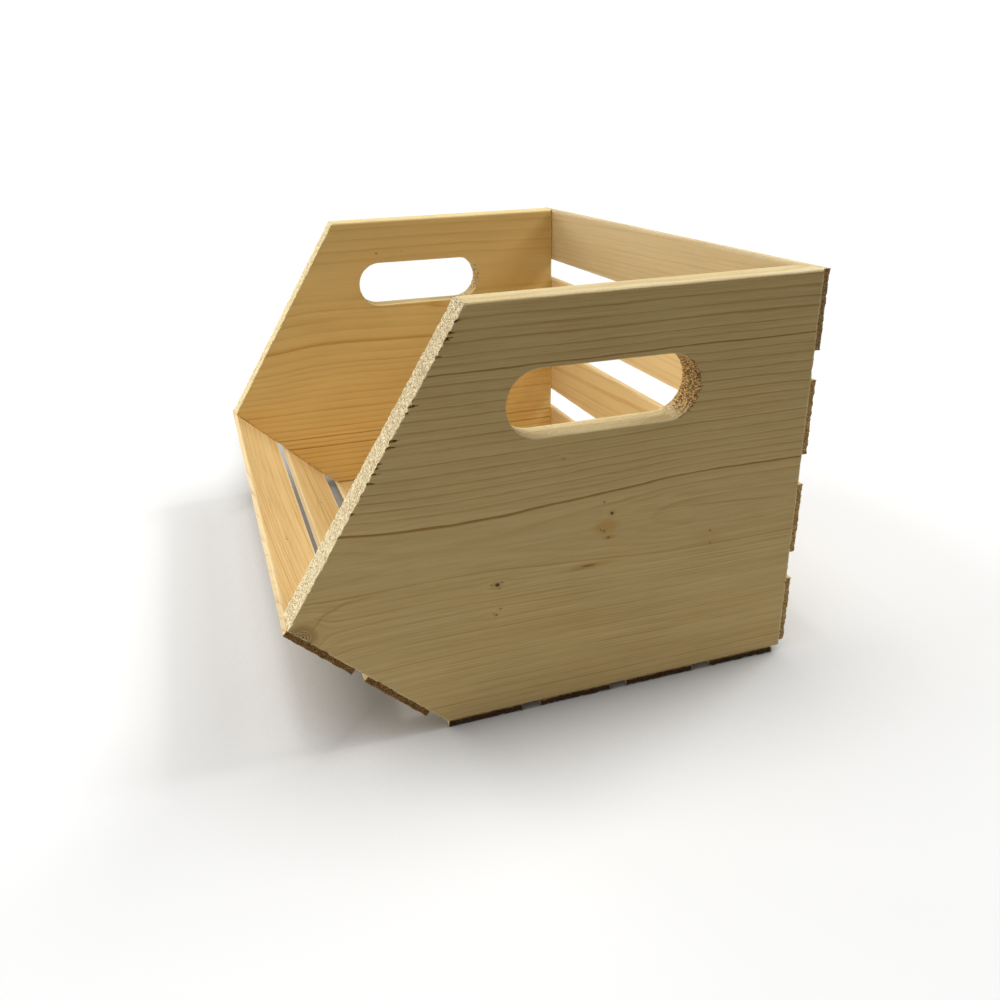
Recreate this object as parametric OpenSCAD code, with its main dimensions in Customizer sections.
// Slatted orchard crate with an angled, open front.
// Two softwood side panels carry thin slats across the back, the floor and the
// lower front. Every slat end is nailed into a panel's edge with two lath nails.
// Frame: +Z up, the open front faces -Y, the panels stand at +X and -X.
// Origin: middle of the footprint's box, on the ground under the floor slats.

/* [Side panels] */
// Thickness of a side panel
panel_t = 19; // [12:0.5:25]
// Height of a side panel, one board wide
panel_h = 235; // [232:1:300]
// Depth of a side panel from the front lip to the back edge
panel_depth = 299; // [280:1:380]
// Length of the straight top edge
top_len = 199; // [190:1:230]
// Length of the straight bottom edge
bottom_len = 218; // [214:1:260]
// Height of the front lip above the panel's bottom edge
lip_z = 78; // [74:1:110]
// Radius of the board's eased long edges, along the top and the bottom
board_ease = 2; // [0.5:0.1:3]

/* [Hand holes] */
// Length of a hand hole, end to end
hole_len = 109; // [90:1:120]
// Width of a hand hole, the diameter of its round ends
hole_w = 37; // [30:0.5:42]
// Distance of the hole's middle from the panel's back edge
hole_back = 126; // [110:1:135]
// Height of the hole's middle above the panel's bottom edge
hole_z = 180; // [160:1:190]
// Size of the eased edge round the hole, on both faces
hole_ease = 1.5; // [0.5:0.1:3]

/* [Slats] */
// Length of a slat, which is the crate's overall width
slat_len = 400; // [300:1:520]
// Width of a slat
slat_w = 44.4; // [40:0.1:46]
// Thickness of a slat
slat_t = 3.6; // [3:0.1:6]
// Drop of each back slat's top edge below the panel's top edge
back_drop = [0, 61, 124, 186.4]; // [0:0.2:200]
// Setback of each floor slat's front edge from the panel's lower front corner
floor_set = [0, 55.8, 111.4, 168.6]; // [0:0.2:200]
// Distance of each front slat's upper edge down the slope from the lip
front_set = [0, 53.4]; // [0:0.2:65]

/* [Nails] */
// Diameter of a nail's shank
nail_d = 1.6; // [1.2:0.1:2.5]
// Diameter of a nail's flat head
head_d = 4; // [3:0.1:6]
// Thickness of a nail's head
head_t = 0.8; // [0.5:0.1:1.2]
// Length of a nail from its head's face to its point
nail_len = 25; // [18:1:30]
// Distance of a nail from the slat's long edge
nail_edge = 11; // [7:0.5:18]
// Distance the back nails move outward and the floor nails inward from the panel's middle
nail_stagger = 3; // [2:0.5:5]

/* [Hidden] */
$fn = 48;

// How far a cutter reaches past the surface it cuts
over = 1;

// Angle of the lower front, from the lip down to the floor
slope_deg = atan2(lip_z, panel_depth - bottom_len);
// The lip slat's outer corner is the crate's foremost point, this far before the lip
lip_out = slat_t * sin(slope_deg);

// The panels' back edge, lip and bottom edge
y_back = (panel_depth + slat_t + lip_out) / 2 - slat_t;
y_lip = y_back - panel_depth;
z_base = slat_t;
// Outer face and middle of the +X panel's thickness
x_face = slat_len / 2;
x_mid = x_face - panel_t / 2;

hole_r = hole_w / 2;
// Distance from the hand hole's middle to the centre of a round end
hole_half = hole_len / 2 - hole_r;

nail_point = 1.6 * nail_d;
// Outward shift of each kind's nail rows, so that rows miss each other at a corner
back_shift = nail_stagger;
floor_shift = -nail_stagger;
front_shift = 0;

// A slat kind's local frame: X along the slat, Y across its width, Z out of the
// crate. Y = 0 is where the kind's slat distances start, Z = 0 the panel's edge.
module on_back() {
    translate([0, y_back, z_base + panel_h]) rotate([-90, 0, 0]) children();
}
module on_floor() {
    translate([0, y_back - bottom_len, z_base]) mirror([0, 0, 1]) children();
}
module on_front() {
    translate([0, y_lip, z_base + lip_z]) rotate([-slope_deg, 0, 0]) mirror([0, 0, 1]) children();
}

// One lath nail, driven along -Z, its head's face on the slat's outer face.
// The profile is (radius, height above the point).
module nail() {
    shank_r = nail_d / 2;
    head_r = head_d / 2;
    under_head = nail_len - head_t;
    translate([0, 0, slat_t - nail_len])
        rotate_extrude()
            polygon([[0, 0], [shank_r, nail_point], [shank_r, under_head],
                     [head_r, under_head], [head_r, nail_len], [0, nail_len]]);
}

// Two nails at each listed end of the slat whose first edge is at start
module nail_set(start, shift, sides = [-1, 1]) {
    for (side = sides, edge = [nail_edge, slat_w - nail_edge])
        translate([side * (x_mid + shift), start + edge, 0]) nail();
}

module back_nails(i) { color("silver") on_back() nail_set(back_drop[i], back_shift); }
module floor_nails(i) { color("silver") on_floor() nail_set(floor_set[i], floor_shift); }
module front_nails(i) { color("silver") on_front() nail_set(front_set[i], front_shift); }

// A slat with its nail holes
module slat(start, shift) {
    difference() {
        translate([-slat_len / 2, start, 0]) cube([slat_len, slat_w, slat_t]);
        nail_set(start, shift);
    }
}

module back_slat(i) { color("burlywood") on_back() slat(back_drop[i], back_shift); }
module floor_slat(i) { color("wheat") on_floor() slat(floor_set[i], floor_shift); }
module front_slat(i) { color("wheat") on_front() slat(front_set[i], front_shift); }

// The panel's own frame: X = 0 at the back edge and negative towards the front,
// Y up from the bottom edge, Z through the thickness.

module outline() {
    polygon([[0, 0], [0, panel_h], [-top_len, panel_h], [-panel_depth, lip_z], [-bottom_len, 0]]);
}

// Places a cutter made for the panel's Z = 0 face on both faces
module on_both_faces() {
    for (face = [0, 1])
        translate([0, 0, face * panel_t]) mirror([0, 0, face]) children();
}

// The bevel round the hand hole on one face
module hole_bevel() {
    wide_r = hole_r + hole_ease + over;
    for (side = [-1, 1])
        translate([side * hole_half, 0, -over])
            cylinder(r1 = wide_r, r2 = hole_r, h = hole_ease + over);
    translate([-hole_half, 0, 0]) rotate([90, 0, 90])
        linear_extrude(height = 2 * hole_half)
            polygon([[-wide_r, -over], [wide_r, -over],
                     [hole_r, hole_ease], [-hole_r, hole_ease]]);
}

// The hand hole's cutter, centred on its own middle
module hand_hole() {
    through = panel_t + 2 * over;
    for (side = [-1, 1])
        translate([side * hole_half, 0, -over]) cylinder(r = hole_r, h = through);
    translate([-hole_half, -hole_r, -over]) cube([2 * hole_half, hole_w, through]);
    on_both_faces() hole_bevel();
}

// The sliver that rounds one long corner of the board, its corner on the X axis
// and the board on the +Y, +Z side
module ease_cut() {
    cut_len = panel_depth + over;
    cut_w = board_ease + over;
    translate([-panel_depth, 0, 0])
        difference() {
            translate([0, -over, -over]) cube([cut_len, cut_w, cut_w]);
            translate([-over, board_ease, board_ease]) rotate([0, 90, 0])
                cylinder(r = board_ease, h = cut_len + 2 * over);
        }
}

// The slivers along the bottom and top edges, on both faces
module eased_edges() {
    on_both_faces() {
        ease_cut();
        translate([0, panel_h, 0]) mirror([0, 1, 0]) ease_cut();
    }
}

// The +X panel, with its hand hole and nail holes
module panel() {
    difference() {
        translate([x_face - panel_t, y_back, z_base]) rotate([90, 0, 90])
            difference() {
                linear_extrude(height = panel_t) outline();
                eased_edges();
                translate([-hole_back, hole_z, 0]) hand_hole();
            }
        for (start = back_drop) on_back() nail_set(start, back_shift, [1]);
        for (start = floor_set) on_floor() nail_set(start, floor_shift, [1]);
        for (start = front_set) on_front() nail_set(start, front_shift, [1]);
    }
}

module side_panel_right() { color("tan") panel(); }
module side_panel_left() { color("tan") mirror([1, 0, 0]) panel(); }

side_panel_left();
side_panel_right();
back_slat(0);  // back_slat_1
back_slat(1);  // back_slat_2
back_slat(2);  // back_slat_3
back_slat(3);  // back_slat_4
floor_slat(0);  // floor_slat_1
floor_slat(1);  // floor_slat_2
floor_slat(2);  // floor_slat_3
floor_slat(3);  // floor_slat_4
front_slat(0);  // front_slat_1
front_slat(1);  // front_slat_2
back_nails(0);  // back_slat_1_nails
back_nails(1);  // back_slat_2_nails
back_nails(2);  // back_slat_3_nails
back_nails(3);  // back_slat_4_nails
floor_nails(0);  // floor_slat_1_nails
floor_nails(1);  // floor_slat_2_nails
floor_nails(2);  // floor_slat_3_nails
floor_nails(3);  // floor_slat_4_nails
front_nails(0);  // front_slat_1_nails
front_nails(1);  // front_slat_2_nails
